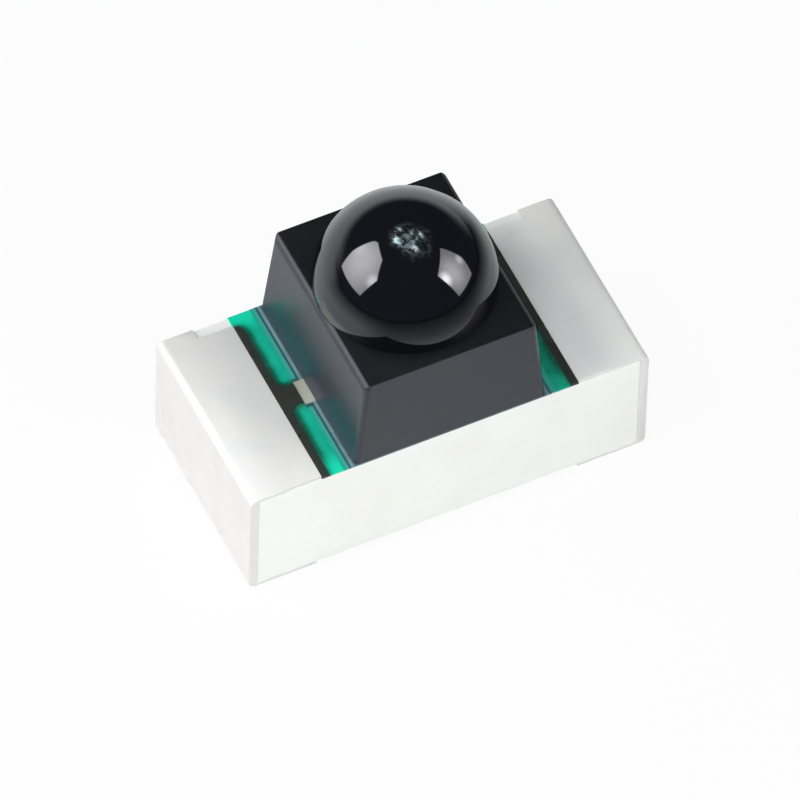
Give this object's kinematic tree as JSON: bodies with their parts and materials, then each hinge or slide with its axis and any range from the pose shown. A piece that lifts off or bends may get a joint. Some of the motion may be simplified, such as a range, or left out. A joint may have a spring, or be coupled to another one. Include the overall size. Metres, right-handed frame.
{
  "type": "infrared phototransistor",
  "caption": "Surface-mount infrared phototransistor: white laminate carrier with wrap-around end terminals and a black daylight-blocking epoxy body with a dome lens.",
  "frame": {"origin": "centre of the underside, on the plane of the solder pads", "axes": "+X along the package from the collector end to the emitter end, +Y across it, +Z along the dome lens's optical axis"},
  "size_m": [0.0032, 0.0016, 0.0026],
  "materials": {
    "laminate": "white glass-epoxy laminate with sawn faces",
    "plated_copper": "dull silver plating with a fine grain",
    "solder_mask": "translucent green film, nearly black over copper",
    "black_epoxy": "smoke-black moulded epoxy, glossy, clear to near infrared",
    "conductive_adhesive": "cured silver-filled adhesive",
    "silicon": "polished",
    "gold_wire": "drawn gold wire"
  },
  "bodies": {
    "root": {"substrate": "laminate", "collector_terminal": "plated_copper", "emitter_terminal": "plated_copper", "collector_solder_mask": "solder_mask", "emitter_solder_mask": "solder_mask", "polarity_mark": "solder_mask", "die_attach": "conductive_adhesive", "phototransistor_die": "silicon", "bond_wire": "gold_wire", "lens_body": "black_epoxy"}
  },
  "joints": []
}
